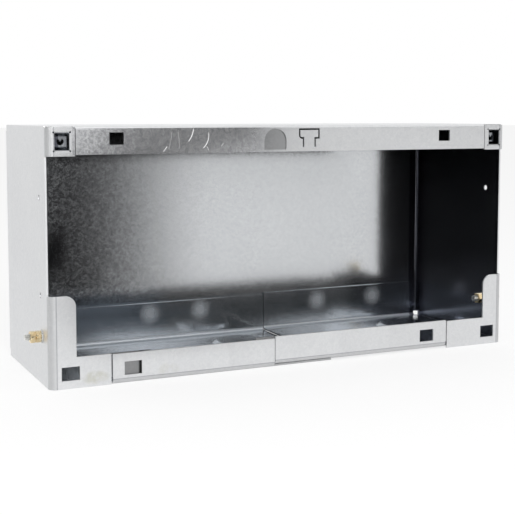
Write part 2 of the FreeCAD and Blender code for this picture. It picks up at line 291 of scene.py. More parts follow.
# %% [markdown]
# ## Brass nuts
# A nut is cut from hexagon bar. Its corners are turned off at a shallow slope on both faces, which
# leaves the curved corner lines that a nut is known by, and the bore is countersunk. The hexagon
# is a six-sided cylinder with lightly rounded corners, cut first by a barrel and then by a drill.

# %% Hexagon blanks
HEXAGON_SIDES = 6
CORNER_EASE = 0.15 * MM


def along_x(piece, edge):
    """How far an edge reaches along X."""
    start, end = (piece.data.vertices[index].co.x for index in edge.vertices)
    return abs(end - start)


def hexagon_blank(corner_radius, thickness):
    """A slice of hexagon bar along X about the origin, its six corners lightly rounded."""
    bpy.ops.object.select_all(action="DESELECT")
    bpy.ops.mesh.primitive_cylinder_add(vertices=HEXAGON_SIDES, radius=corner_radius, depth=thickness,
                                        rotation=AXIS_TURN)
    blank = bpy.context.object
    bpy.ops.object.transform_apply(rotation=True)
    edit_with(blank, "edges", lambda edge: along_x(blank, edge) > thickness / 2)
    bpy.ops.mesh.bevel(offset=CORNER_EASE, segments=EASE_STEPS)
    bpy.ops.object.mode_set(mode="OBJECT")
    return blank


print("corners rounded by", CORNER_EASE / MM, "mm")

# %% Brass nuts
CHAMFER_SLOPE = math.radians(30)
FACE_SHARE = 0.95
COUNTERSINK = 0.45 * MM
BORE_CLEARANCE = 0.02 * MM
TOOL_SPARE = 0.2 * MM


def hexagon_nut(name, node_name, stud_name):
    """A chamfered nut with a countersunk bore, at the place and size of a node."""
    low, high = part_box(node_name)
    stud_low, stud_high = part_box(stud_name)
    thickness = high.x - low.x
    flats = high.z - low.z
    corner_radius = flats / math.sqrt(3)
    piece = hexagon_blank(corner_radius, thickness)
    face_radius = FACE_SHARE * flats / 2
    barrel_radius = corner_radius + TOOL_SPARE
    chamfer = (barrel_radius - face_radius) * math.tan(CHAMFER_SLOPE) + TOOL_SPARE
    barrel_end = face_radius - TOOL_SPARE / math.tan(CHAMFER_SLOPE)
    tool_length = thickness + 2 * TOOL_SPARE
    cut_with(piece, turned_bar(barrel_radius, tool_length, barrel_end, chamfer), "INTERSECT")
    bore = (stud_high.z - stud_low.z) / 2 + BORE_CLEARANCE
    sink = COUNTERSINK + TOOL_SPARE
    cut_with(piece, turned_bar(bore, tool_length, bore + sink, sink), "DIFFERENCE")
    smooth_and_move(piece, (low + high) / 2)
    stand_for(piece, name, node_name)
    print(name, "flats:", round(flats / MM, 2), "mm, faces:", len(piece.data.polygons))


for side in ("left", "right"):
    for where in ("outer", "inner"):
        for kind in ("nut", "locknut"):
            hexagon_nut(f"{where}_{kind}_{side}", f"earth_{kind}_{where}_{side}", f"earth_stud_{side}")

# %% [markdown]
# ## Node helpers
# A material is a graph of nodes. A few small helpers keep the graphs short enough to read: one
# adds a node and sets its values, and the others string sums, patterns and mixes together. A
# mask is a number from 0 to 1 that says how much of something there is at a place.

# %% Helpers for building materials
def fresh_material(name):
    """A new material with only a shader and its output, and the graph to add to."""
    material = bpy.data.materials.new(name)
    material.use_nodes = True
    graph = material.node_tree
    return material, graph, graph.nodes["Principled BSDF"]


def plug(graph, target, value):
    """Link an output to an input, or set the input to a plain value."""
    if isinstance(value, bpy.types.NodeSocket):
        graph.links.new(value, target)
    else:
        target.default_value = value


def add(graph, kind, settings=None, **inputs):
    """Add a node, set its options, and set or link its inputs by name."""
    node = graph.nodes.new(kind)
    for option, value in (settings or {}).items():
        setattr(node, option, value)
    for socket, value in inputs.items():
        plug(graph, node.inputs[socket.replace("_", " ")], value)
    return node


def sums(graph, operation, *values):
    """One step of arithmetic, returned as an output that can be linked on."""
    node = add(graph, "ShaderNodeMath", {"operation": operation})
    for socket, value in zip(node.inputs, values):
        plug(graph, socket, value)
    return node.outputs[0]


def vectors(graph, operation, *values, scale=None):
    """One step of vector arithmetic, returned as an output that can be linked on."""
    node = add(graph, "ShaderNodeVectorMath", {"operation": operation})
    for socket, value in zip(node.inputs, values):
        plug(graph, socket, value)
    if scale is not None:
        plug(graph, node.inputs["Scale"], scale)
    return node.outputs["Value" if operation == "LENGTH" else "Vector"]


def split(graph, vector):
    """The X, Y and Z of a vector."""
    return add(graph, "ShaderNodeSeparateXYZ", Vector=vector).outputs


print("node helpers ready")

# %% Helpers for patterns and colours
def object_place(graph):
    """Where a point lies in its object's own space."""
    return add(graph, "ShaderNodeTexCoord").outputs["Object"]


def noise(graph, place, size, detail):
    """Soft random patches of about a given size."""
    return add(graph, "ShaderNodeTexNoise", Vector=place, Scale=1 / size, Detail=detail).outputs["Fac"]


def cells(graph, place, size):
    """Random colours, one for each cell of about a given size."""
    return add(graph, "ShaderNodeTexVoronoi", Vector=place, Scale=1 / size).outputs["Color"]


def chance_of(graph, colour):
    """One random number out of a cell's random colour."""
    return add(graph, "ShaderNodeSeparateColor", Color=colour).outputs[0]


def blend_colours(graph, share, first, second):
    """Mix two colours by a share from 0 to 1."""
    node = add(graph, "ShaderNodeMix", {"data_type": "RGBA"}, Factor=share)
    shown = [socket for socket in node.inputs if socket.type == "RGBA"]
    plug(graph, shown[0], first)
    plug(graph, shown[1], second)
    return next(socket for socket in node.outputs if socket.type == "RGBA")


def tinted(graph, colour, mask, tint):
    """A colour that is multiplied by a tint where a mask is 1."""
    return blend_colours(graph, mask, colour, vectors(graph, "MULTIPLY", colour, tint))


print("patterns ready")

# %% Helpers for masks
SOFT_SHARE = 0.4


def between(graph, value, start, end, low=0.0, high=1.0):
    """Carry a value's span from start to end softly over to a span from low to high."""
    node = add(graph, "ShaderNodeMapRange", {"interpolation_type": "SMOOTHSTEP"}, Value=value,
               From_Min=start, From_Max=end, To_Min=low, To_Max=high)
    return node.outputs["Result"]


def more_than(graph, value, limit):
    """1 where a value is over a limit."""
    return sums(graph, "GREATER_THAN", value, limit)


def less_than(graph, value, limit):
    """1 where a value is under a limit."""
    return sums(graph, "LESS_THAN", value, limit)


def product(graph, *values):
    """Several masks multiplied together."""
    total = values[0]
    for value in values[1:]:
        total = sums(graph, "MULTIPLY", total, value)
    return total


def opposite(graph, mask):
    """A mask turned round."""
    return sums(graph, "SUBTRACT", 1.0, mask)


def away_from(graph, value, centre):
    """How far a value is from a centre, on either side."""
    return sums(graph, "ABSOLUTE", sums(graph, "SUBTRACT", value, centre))


def near_to(graph, value, centre, reach):
    """1 where a value is close to a centre, falling softly to 0 at the given reach."""
    return between(graph, away_from(graph, value, centre), reach, SOFT_SHARE * reach)


print("masks ready")

# %% [markdown]
# ## Galvanised sheet
# Hot zinc freezes into crystals, called spangle. Each crystal is a flat mirror that leans a little
# its own way, so the sheet looks speckled wherever it mirrors an edge between light and dark. A
# picture of spangle would repeat, so the crystals are Voronoi cells in the object's own space: the
# random colour of a cell tilts the surface normal and shifts its tone. Three sizes of cell are laid
# over each other, because the real crystals aren't all alike.
#
# The sheet is satin outside and brighter inside, so a mask tells the two sides apart by how deep a
# point lies in the sheet. More masks, all of them places on the box, are worked out once here and
# used by every step that follows.

# %% Spangle
SPANGLE = ((2.4 * MM, 0.008), (1.1 * MM, 0.014), (0.4 * MM, 0.012))
TONED_SIZES = 2
LEAN_SPREAD = (1.0, 1.0, 0.5)
HALF = (0.5, 0.5, 0.5)


def spangle(graph, place):
    """The lean of each crystal, to add to the normal, and chances for the tone of the larger ones."""
    total = None
    chances = []
    for size, lean in SPANGLE:
        colours = cells(graph, place, size)
        part = vectors(graph, "SCALE", vectors(graph, "SUBTRACT", colours, HALF), scale=lean)
        total = part if total is None else vectors(graph, "ADD", total, part)
        chances.append(chance_of(graph, colours))
    return vectors(graph, "MULTIPLY", total, LEAN_SPREAD), chances[:TONED_SIZES]


print("spangle sizes:", [round(size / MM, 1) for size, lean in SPANGLE], "mm")

# %% Places on the box
SKIN_RADIUS = 4.0 * MM
SKIN_DEPTH = 1.25 * MM
FRONT_SKIN = 0.3 * MM
FRONT_FACING = -0.9
RECESS_DEPTH = 1.3 * MM
RECESS_REACH = 0.9 * MM


def outer_side(graph, place):
    """1 on the side of the sheet that faces out of the box, and 0 on the side that faces in."""
    middle = tuple((cad_low + cad_high) / 2)
    half = [side / 2 for side in cad_high - cad_low]
    # The studs stick out of the end walls, so across the box the body's own width counts.
    half[0] = cad_width / 2
    core = tuple(side - SKIN_RADIUS for side in half)
    out = vectors(graph, "ABSOLUTE", vectors(graph, "SUBTRACT", place, middle))
    beyond = vectors(graph, "MAXIMUM", vectors(graph, "SUBTRACT", out, core), (0, 0, 0))
    return more_than(graph, vectors(graph, "LENGTH", beyond), SKIN_RADIUS - SKIN_DEPTH)


def places_on_box(graph):
    """Where a point is on the box, which way it faces, and the masks that many steps share."""
    at = SimpleNamespace()
    at.place = object_place(graph)
    at.across, at.depth, at.up = split(graph, at.place)
    at.from_middle = sums(graph, "ABSOLUTE", at.across)
    at.on_front = near_to(graph, at.depth, cad_low.y, FRONT_SKIN)
    at.normal = add(graph, "ShaderNodeNewGeometry").outputs["Normal"]
    facing = split(graph, at.normal)
    at.faces_x = facing["X"]
    at.faces_front = less_than(graph, facing["Y"], FRONT_FACING)
    at.on_back_wall = product(graph, at.faces_front, more_than(graph, at.depth, 0.0))
    recess = near_to(graph, at.depth, cad_low.y + RECESS_DEPTH, RECESS_REACH)
    at.recessed = product(graph, at.faces_front, recess)
    at.outside = sums(graph, "MAXIMUM", outer_side(graph, at.place), at.recessed)
    at.inside = opposite(graph, at.outside)
    return at


print("outer skin:", SKIN_DEPTH / MM, "mm deep")

# %% [markdown]
# ## Painted shade on the sheet
# The inside of the box is painted greyer than its outside, as the shade inside the box. It is
# painted darkest behind the front flanges and on the end walls, paler and bluer low down as painted
# bounce light, and the step at the seam of the two bottom plates is painted as a dark line. Each
# fold is painted a little darker than the flat beside it, as the shade on its curve, with a thin
# painted dark line where its curve ends. Modelling such lines would take many faces for no change
# of shape, so each is a mask that multiplies the sheet's colour by a tint.

# %% Painted shade inside the box
# Painted shade: the inside is greyer than the outside, darker still behind the front flanges, on the end
# walls and on the step at the seam.
INNER_PAINTED_SHADE = (0.78, 0.79, 0.80)
BEHIND_FRONT = -58 * MM
BEHIND_FRONT_SHADE = (0.52, 0.53, 0.55)
LOW_INSIDE = 36 * MM
# Painted bounce light: low down inside, the sheet is painted paler and bluer.
LOW_BOUNCE_LIGHT = (1.05, 1.08, 1.11)
END_INSIDE = 190 * MM
END_WALL_SHADE = (0.36, 0.36, 0.40)
SEAM = 32 * MM
SEAM_REACH = 1.0 * MM
SEAM_FACING = -0.1
SEAM_STEP_SHADE = (0.20, 0.20, 0.20)


def shade_inside(graph, at, colour):
    """Painted shade on the inner side of the sheet, and painted bounce light low down inside the box."""
    colour = tinted(graph, colour, at.inside, INNER_PAINTED_SHADE)
    seam = near_to(graph, at.across, SEAM, SEAM_REACH)
    shades = (
        (less_than(graph, at.depth, BEHIND_FRONT), BEHIND_FRONT_SHADE),
        (less_than(graph, at.up, LOW_INSIDE), LOW_BOUNCE_LIGHT),
        (more_than(graph, at.from_middle, END_INSIDE), END_WALL_SHADE),
        (product(graph, seam, less_than(graph, at.faces_x, SEAM_FACING)), SEAM_STEP_SHADE),
    )
    for mask, tint in shades:
        colour = tinted(graph, colour, product(graph, at.inside, mask), tint)
    return colour


print("inner tints ready")

# %% Painted shade behind the holes
# Painted shade: the sheet seen through the front's openings lies in shade, and the end of the left foot's
# tongue is a painted dark line of shadow.
RECESS_SHADE = (0.62, 0.62, 0.62)
HOLE_SHADE = (0.60, 0.60, 0.60)
TONGUE_END = -130.4 * MM
TONGUE_REACH = 2.5 * MM
TONGUE_END_SHADOW = (0.08, 0.08, 0.08)


def shade_recesses(graph, at, colour):
    """Painted shade on the sheet behind the front's openings, and a painted shadow line at the end of the
    left foot's tongue.
    """
    colour = tinted(graph, colour, at.recessed, RECESS_SHADE)
    behind_hole = product(graph, at.recessed, less_than(graph, at.up, LOW_INSIDE))
    colour = tinted(graph, colour, behind_hole, HOLE_SHADE)
    tongue_end = near_to(graph, at.across, TONGUE_END, TONGUE_REACH)
    return tinted(graph, colour, product(graph, behind_hole, tongue_end), TONGUE_END_SHADOW)


print("recess tints ready")

# %% Painted shade at the folds
EAR_FOLD = 5.5 * MM
EAR_LINE = cad_width / 2 - EAR_FOLD
PLATE_FOLD = 3.5 * MM
PLATES_START = -152.8 * MM
PLATES_END = 141.8 * MM
LAP = -20 * MM
LAP_RISE = 1.5 * MM
# Painted shade: each fold is darker, as the shade on its curve, and a thin dark line marks where the curve
# ends.
FOLD_SHADE = (0.80, 0.80, 0.80)
LINE_REACH = 0.5 * MM
FOLD_LINE_SHADE = (0.70, 0.70, 0.72)


def shade_folds(graph, at, colour):
    """Painted shade on the folds of the ears and the bottom plates, and a painted dark line where each fold
    ends.
    """
    in_ear_fold = product(graph, more_than(graph, at.from_middle, EAR_LINE),
                          less_than(graph, at.depth, cad_low.y + EAR_FOLD))
    on_ear_line = product(graph, near_to(graph, at.from_middle, EAR_LINE, LINE_REACH), at.on_front)
    past_lap = more_than(graph, at.across, LAP)
    fold_top = sums(graph, "MULTIPLY_ADD", past_lap, LAP_RISE, PLATE_FOLD)
    on_plates = product(graph, more_than(graph, at.across, PLATES_START),
                        less_than(graph, at.across, PLATES_END))
    in_plate_fold = product(graph, on_plates, less_than(graph, at.up, fold_top),
                            less_than(graph, at.depth, cad_low.y + PLATE_FOLD))
    on_plate_line = product(graph, on_plates, near_to(graph, at.up, fold_top, LINE_REACH), at.on_front)
    for fold in (in_ear_fold, in_plate_fold):
        colour = tinted(graph, colour, fold, FOLD_SHADE)
    for line in (on_ear_line, on_plate_line):
        colour = tinted(graph, colour, line, FOLD_LINE_SHADE)
    return colour


print("ear line:", round(EAR_LINE / MM, 1), "mm from the middle")

# %% [markdown]
# ## Dark crystals
# Some crystals are painted darker than others. On the left of the top flange, which has kept more of
# its gloss, this is partly the crystals' own tone and partly a painted reflection of the dark side
# of the room. At the left of the back wall it is painted shade. The chance value of a crystal,
# already drawn for its lean, decides how dark it is there.

# %% Crystals that show dark
GLOSSY_END = (-50 * MM, 0 * MM)
GLOSSY_BOTTOM = 168 * MM
SPECKLE_START = -181 * MM
# Partly the crystals' own tone and partly a painted reflection of the dark side of the room.
SPECKLE_AND_REFLECTION_TINT = (0.80, 0.80, 0.81)
# Painted shade: dark crystals at the left of the back wall.
SHADY_END = (-200 * MM, -20 * MM)
SHADY_TINT = (0.40, 0.40, 0.41)
DARK_CHANCE = (0.2, 0.9)


def glossy_stretch(graph, at):
    """1 on the glossier left of the top flange, fading out towards the middle."""
    to_the_left = between(graph, at.across, *GLOSSY_END, 1, 0)
    return product(graph, to_the_left, at.faces_front, more_than(graph, at.up, GLOSSY_BOTTOM))


def darken_crystals(graph, at, colour, chances, glossy):
    """Darker crystals: their own tone with a painted dark reflection on the glossy stretch of the flange, and
    painted shade at the left of the back wall.
    """
    speckled = product(graph, glossy, at.outside, more_than(graph, at.across, SPECKLE_START))
    to_the_left = between(graph, at.across, *SHADY_END, 1, 0)
    shady = product(graph, at.inside, at.on_back_wall, to_the_left, more_than(graph, at.up, LOW_INSIDE))
    for chance in chances:
        dark_crystal = between(graph, chance, *DARK_CHANCE)
        colour = tinted(graph, colour, product(graph, speckled, dark_crystal), SPECKLE_AND_REFLECTION_TINT)
        colour = tinted(graph, colour, product(graph, shady, dark_crystal), SHADY_TINT)
    return colour


print("dark crystals ready")

# %% [markdown]
# ## Marks of making and use
# Hands leave yellowish thumb marks, tools leave bright scratches on the top flange. Spot welds
# leave round pale marks where the plates' upstands meet the back wall. Welds scatter light instead
# of mirroring it, so their masks make the metal less metallic. Each pad's rim is made less metallic
# at its left and right ends, as a painted highlight where its curve catches the light. A rougher
# patch would do the same, but its edge would look cut out.

# %% Thumb marks
# Each row has the centre's x and z, the half width, the half height and the strength.
THUMB_MARKS = ((-166, 6.5, 12, 6, 0.8), (-109, 6.5, 10, 7, 0.4))
THUMB_EDGE = (1.0, 0.1)
THUMB_TINT = (0.82, 0.81, 0.72)
PATCH_SIZE = 7 * MM
PATCH_DETAIL = 3.0
PATCH_EDGE = (0.3, 0.6)


def thumb_mark(graph, at, centre_x, centre_z, half_x, half_z, strength):
    """A soft oval mark, given in millimetres."""
    beside = sums(graph, "DIVIDE", sums(graph, "SUBTRACT", at.across, centre_x * MM), half_x * MM)
    above = sums(graph, "DIVIDE", sums(graph, "SUBTRACT", at.up, centre_z * MM), half_z * MM)
    away = sums(graph, "ADD", product(graph, beside, beside), product(graph, above, above))
    return between(graph, away, *THUMB_EDGE, 0.0, strength)


def soil_front(graph, at, colour):
    """Patchy thumb marks on the front of the box."""
    patches = between(graph, noise(graph, at.place, PATCH_SIZE, PATCH_DETAIL), *PATCH_EDGE)
    for mark in THUMB_MARKS:
        soiled = product(graph, thumb_mark(graph, at, *mark), at.on_front, patches)
        colour = tinted(graph, colour, soiled, THUMB_TINT)
    return colour


print("thumb marks:", len(THUMB_MARKS))

# %% Scratches
# Each row has the start and the end as x and z, the width, the bow and the strength.
SCRATCHES = (
    ((-87.9, 188.4), (-92.6, 177.6), 0.46, 0.9, 1.0),
    ((-75.9, 185.5), (-81.0, 172.5), 0.46, 2.0, 1.0),
    ((-105.2, 186.9), (-108.1, 172.1), 0.3, 0.4, 0.35),
    ((-100.5, 186.3), (-99.3, 172.1), 0.3, 0.3, 0.35),
    ((-63.7, 176.6), (-65.7, 174.5), 0.4, 0.2, 0.5),
    ((-109.0, 175.0), (-112.4, 170.8), 0.4, 0.2, 0.8),
    ((-77.4, 174.6), (-75.6, 171.2), 0.3, 0.0, 0.7),
)
SCRATCH_FADE = 0.7


def scratch_mask(graph, place, start, end, width, bow, strength):
    """The strength of a bowed scratch on the top flange, given in millimetres, and 0 elsewhere."""
    middle = ((start[0] + end[0]) / 2 * MM, cad_low.y, (start[1] + end[1]) / 2 * MM)
    run = (end[0] - start[0], end[1] - start[1])
    turn = (0, -math.atan2(run[1], run[0]), 0)
    local = add(graph, "ShaderNodeMapping", {"vector_type": "TEXTURE"}, Vector=place, Location=middle,
                Rotation=turn)
    along, depth, across = split(graph, local.outputs[0])
    half = math.hypot(*run) / 2 * MM
    in_run = between(graph, sums(graph, "ABSOLUTE", along), half, SCRATCH_FADE * half)
    share = sums(graph, "DIVIDE", along, half)
    bowed = sums(graph, "MULTIPLY", opposite(graph, product(graph, share, share)), bow * MM)
    on_line = near_to(graph, sums(graph, "SUBTRACT", across, bowed), 0.0, width * MM)
    return product(graph, in_run, on_line, near_to(graph, depth, 0.0, FRONT_SKIN), strength)


def all_scratches(graph, place):
    """The strongest scratch at each place."""
    scratched = 0.0
    for scratch in SCRATCHES:
        scratched = sums(graph, "MAXIMUM", scratched, scratch_mask(graph, place, *scratch))
    return scratched


print("scratches:", len(SCRATCHES))

# %% Weld marks, and painted highlights on the pad rims
WELDS = (-77.6 * MM, -30.5 * MM, 87.8 * MM, 147.7 * MM)
WELD_HEIGHT = 25 * MM
UPSTAND_FACE = 64 * MM
WELD_EDGE = (12.0 * MM, 2.0 * MM)
WELD_MATT = 0.3
# Painted highlight: the pads' rims are matt at their ends, where the curve catches the light.
PADS = ((-10 * MM, 20 * MM), (155 * MM, 20 * MM))
PAD_RIM = 22.75 * MM
PAD_REACH = 3.2 * MM
PAD_TOP = 7 * MM
PAD_ENDS = (12 * MM, 21 * MM)
PAD_HIGHLIGHT_MATT = 0.5
LEVEL = (1, 1, 0)


def weld_mark(graph, at, weld_x):
    """A soft round mark on the upstand's face."""
    away = vectors(graph, "SUBTRACT", at.place, (weld_x, UPSTAND_FACE, WELD_HEIGHT))
    welded = between(graph, vectors(graph, "LENGTH", away), *WELD_EDGE, 0.0, WELD_MATT)
    return product(graph, welded, at.on_back_wall)


def pad_rim_highlight(graph, at, pad_x, pad_y):
    """A painted highlight on a pad's rim, strongest at its left and right ends where the curve catches the
    light.
    """
    away = vectors(graph, "SUBTRACT", at.place, (pad_x, pad_y, 0))
    from_axis = vectors(graph, "LENGTH", vectors(graph, "MULTIPLY", away, LEVEL))
    on_rim = near_to(graph, from_axis, PAD_RIM, PAD_REACH)
    at_end = between(graph, away_from(graph, at.across, pad_x), *PAD_ENDS)
    return product(graph, on_rim, at_end, less_than(graph, at.up, PAD_TOP), PAD_HIGHLIGHT_MATT)


def matt_welds_and_rim_highlights(graph, at):
    """How matt the inside of the sheet is at its welds, and at the pads' rims as a painted highlight."""
    marks = [weld_mark(graph, at, weld_x) for weld_x in WELDS]
    marks += [pad_rim_highlight(graph, at, *pad) for pad in PADS]
    matt = 0.0
    for mark in marks:
        matt = sums(graph, "MAXIMUM", matt, mark)
    return product(graph, matt, at.inside)


print("welds:", len(WELDS), "pads:", len(PADS))

# %% [markdown]
# ## The whole finish
# The steps above are put together here. The crystals and a slow change from handling set the tone,
# the masks tint it with marks and with painted shade, and the scratches lie on top. The inside is
# smoother than the outside, so it mirrors clearly, and the crease where a plate's floor turns up
# into its upstand is dull.

# %% Roughness
INNER_ROUGHNESS = 0.12
OUTER_ROUGHNESS = 0.42
TONE_ROUGHNESS = 0.06
GLOSSY_SHARE = 0.7
CREASE_DEPTH = 62.5 * MM
CREASE_HEIGHT = 3.0 * MM
CREASE_REACH = 2.5 * MM
CREASE_ROUGHNESS = 0.4


def sheet_roughness(graph, at, tone, glossy):
    """Satin outside, smooth inside, and dull along the crease of the bottom plates."""
    satin = product(graph, at.outside, opposite(graph, product(graph, glossy, GLOSSY_SHARE)))
    rough = sums(graph, "MULTIPLY_ADD", satin, OUTER_ROUGHNESS - INNER_ROUGHNESS, INNER_ROUGHNESS)
    rough = sums(graph, "MULTIPLY_ADD", tone, TONE_ROUGHNESS, rough)
    in_crease = product(graph, near_to(graph, at.depth, CREASE_DEPTH, CREASE_REACH),
                        near_to(graph, at.up, CREASE_HEIGHT, CREASE_REACH))
    return sums(graph, "ADD", rough, product(graph, in_crease, CREASE_ROUGHNESS, at.inside))


print("roughness inside:", INNER_ROUGHNESS, "outside:", OUTER_ROUGHNESS)

# %% Galvanised steel
ZINC_PALE = (0.80, 0.805, 0.81, 1)
ZINC_GREY = (0.66, 0.67, 0.685, 1)
CRYSTAL_SHARE = 0.25
HANDLING_SHARE = 0.5
HANDLING_SIZE = 60 * MM
HANDLING_DETAIL = 4.0
SCRATCH_WHITE = (0.95, 0.95, 0.95, 1)
SCRATCH_ROUGHNESS = 0.4


def sheet_tone(graph, at, chances):
    """How pale the zinc is, by its crystals and by a slow change from handling."""
    by_crystal = sums(graph, "MULTIPLY", sums(graph, "ADD", *chances), CRYSTAL_SHARE)
    handling = noise(graph, at.place, HANDLING_SIZE, HANDLING_DETAIL)
    return sums(graph, "ADD", by_crystal, sums(graph, "MULTIPLY", handling, HANDLING_SHARE))


def galvanised_steel():
    """Hot-dipped zinc with its crystals, tones and marks, and painted shade inside the box."""
    material, graph, shader = fresh_material("galvanised_steel")
    at = places_on_box(graph)
    lean, chances = spangle(graph, at.place)
    leaning = vectors(graph, "NORMALIZE", vectors(graph, "ADD", at.normal, lean))
    tone = sheet_tone(graph, at, chances)
    glossy = glossy_stretch(graph, at)
    colour = blend_colours(graph, tone, ZINC_GREY, ZINC_PALE)
    for step in (shade_inside, shade_recesses, shade_folds, soil_front):
        colour = step(graph, at, colour)
    colour = darken_crystals(graph, at, colour, chances, glossy)
    scratched = all_scratches(graph, at.place)
    colour = blend_colours(graph, scratched, colour, SCRATCH_WHITE)
    rough = sheet_roughness(graph, at, tone, glossy)
    rough = sums(graph, "MULTIPLY_ADD", scratched, SCRATCH_ROUGHNESS, rough)
    plug(graph, shader.inputs["Normal"], leaning)
    plug(graph, shader.inputs["Base Color"], colour)
    plug(graph, shader.inputs["Roughness"], rough)
    plug(graph, shader.inputs["Metallic"], opposite(graph, matt_welds_and_rim_highlights(graph, at)))
    return material


finishes = {"galvanised_sheet": galvanised_steel()}
print("finishes:", sorted(finishes))

# %% [markdown]
# ## Zinc plate and brass
# The studs and washers are plated, which is finer and yellower than hot zinc and has no spangle.
# The nuts are turned brass: warm, with a fine grain from the tool and a little tarnish where
# fingers and flux have been. Both finishes vary by a soft noise, so that no face is one flat colour.

# %% Zinc plate and turned brass
PLATE_PALE = (0.74, 0.74, 0.72, 1)
PLATE_DULL = (0.58, 0.58, 0.55, 1)
BRASS_BRIGHT = (0.88, 0.74, 0.48, 1)
BRASS_TARNISH = (0.66, 0.50, 0.28, 1)
TARNISH_DETAIL = 5.0
TARNISH_EDGE = (0.4, 0.7)
TARNISH_ROUGHNESS = 0.15
GRAIN_DETAIL = 2.0
GRAIN_DEPTH = 0.02 * MM
GRAIN_STRENGTH = 0.5


def turned_metal(name, bright, dull, roughness, patch_size, grain_size):
    """A small turned part's metal: patches of tarnish, and a fine grain from the tool."""
    material, graph, shader = fresh_material(name)
    place = object_place(graph)
    worn = between(graph, noise(graph, place, patch_size, TARNISH_DETAIL), *TARNISH_EDGE)
    grain = noise(graph, place, grain_size, GRAIN_DETAIL)
    bump = add(graph, "ShaderNodeBump", Height=grain, Distance=GRAIN_DEPTH, Strength=GRAIN_STRENGTH)
    plug(graph, shader.inputs["Base Color"], blend_colours(graph, worn, bright, dull))
    plug(graph, shader.inputs["Roughness"], sums(graph, "MULTIPLY_ADD", worn, TARNISH_ROUGHNESS, roughness))
    plug(graph, shader.inputs["Normal"], bump.outputs[0])
    plug(graph, shader.inputs["Metallic"], 1.0)
    return material


finishes["zinc_plated_steel"] = turned_metal("zinc_plate", PLATE_PALE, PLATE_DULL, roughness=0.25,
                                             patch_size=3 * MM, grain_size=0.3 * MM)
finishes["brass"] = turned_metal("turned_brass", BRASS_BRIGHT, BRASS_TARNISH, roughness=0.22,
                                 patch_size=4 * MM, grain_size=0.35 * MM)
for piece, slot in finished.values():
    piece.data.materials.clear()
    piece.data.materials.append(finishes[slot])
print("finishes:", sorted(finishes), "on", len(finished), "pieces")

# %% [markdown]
# ## Studio
# Bright metal has little colour of its own: it shows the room. The box stands in a white studio,
# on a white floor, with a soft lamp in front and to the left. The floor and the surround could
# simply be bright lamps, but then the box would lose its soft shadows, so they look whiter to the
# camera and to mirrors than the light that they give.

# %% Floor
FLOOR_SIDE = 30.0
FLOOR_GAP = 0.2 * MM
FLOOR_COLOUR = (0.95, 0.95, 0.95, 1)
FLOOR_GLOW = 0.7
WHITE = (1, 1, 1, 1)


def seen_directly(graph):
    """1 for what the camera, a mirror or clear glass looks at, and 0 for plain light."""
    path = add(graph, "ShaderNodeLightPath").outputs
    shown = sums(graph, "MAXIMUM", path["Is Camera Ray"], path["Is Glossy Ray"])
    return sums(graph, "MAXIMUM", shown, path["Is Transmission Ray"])


def mixed_surface(graph, share, first, second):
    """Send a mix of two shaders to the output of a material."""
    mix = add(graph, "ShaderNodeMixShader", Fac=share)
    plug(graph, mix.inputs[1], first.outputs[0])
    plug(graph, mix.inputs[2], second.outputs[0])
    plug(graph, graph.nodes["Material Output"].inputs["Surface"], mix.outputs[0])


bpy.ops.object.select_all(action="DESELECT")
bpy.ops.mesh.primitive_plane_add(size=FLOOR_SIDE, location=(0, 0, -FLOOR_GAP))
floor = bpy.context.object
floor.name = "floor"
material, graph, shader = fresh_material("pale_floor")
shader.inputs["Base Color"].default_value = FLOOR_COLOUR
shader.inputs["Roughness"].default_value = 1.0
shader.inputs["Specular IOR Level"].default_value = 0.0
glow = add(graph, "ShaderNodeEmission", Color=WHITE, Strength=1.0)
mixed_surface(graph, sums(graph, "MULTIPLY", seen_directly(graph), FLOOR_GLOW), shader, glow)
floor.data.materials.append(material)
print("floor:", FLOOR_SIDE, "m wide")

# %% World and lamp
ROOM_LIGHT = 0.75
LAMP_PLACE = (-0.6, -1.9, 1.1)
LAMP_AIM = (0, 0, 0.1)
LAMP_SIDE = 1.0
LAMP_WATTS = 30

world = bpy.data.worlds.new("white_studio")
bpy.context.scene.world = world
world.use_nodes = True
world.cycles.sampling_method = "NONE"
graph = world.node_tree
background = graph.nodes["Background"]
background.inputs["Color"].default_value = WHITE
room_light = sums(graph, "MULTIPLY_ADD", seen_directly(graph), 1 - ROOM_LIGHT, ROOM_LIGHT)
plug(graph, background.inputs["Strength"], room_light)

lamp_data = bpy.data.lights.new("key_lamp", "AREA")
lamp_data.shape = "SQUARE"
lamp_data.size = LAMP_SIDE
lamp_data.energy = LAMP_WATTS
lamp = bpy.data.objects.new("key_lamp", lamp_data)
bpy.context.scene.collection.objects.link(lamp)
lamp.location = LAMP_PLACE
lamp.rotation_euler = (Vector(LAMP_AIM) - Vector(LAMP_PLACE)).to_track_quat("-Z", "Y").to_euler()
print("room light:", ROOM_LIGHT, "lamp:", LAMP_WATTS, "W")

# %% [markdown]
# ## Flags and cards
# In an all-white room a metal box would look like paper. Photographers stand black flags and white
# cards about a shiny thing to give it something to mirror, and the dark open side of a room does
# the same. These flags are seen by mirrors alone: they throw no shadow and give no light to the
# plain surfaces. The grey ones are mostly broken into flecks, which the crystals turn into a soft
# speckle. Some fade out to one side, and some show from their front alone, so that only the walls
# in front of them mirror them.

# %% How a flag is made
FLECK_SIZE = 12 * MM
FLECK_POWER = 2.0
# A chance from 0 to 1 is a third on average when squared, so flecks are lifted by three.
FLECK_LIFT = 3
BACK_WALL = 0.0655
# The camera's place, mirrored in the back wall.
VIEWER_X = -0.39
VIEWER_Y = 0.956


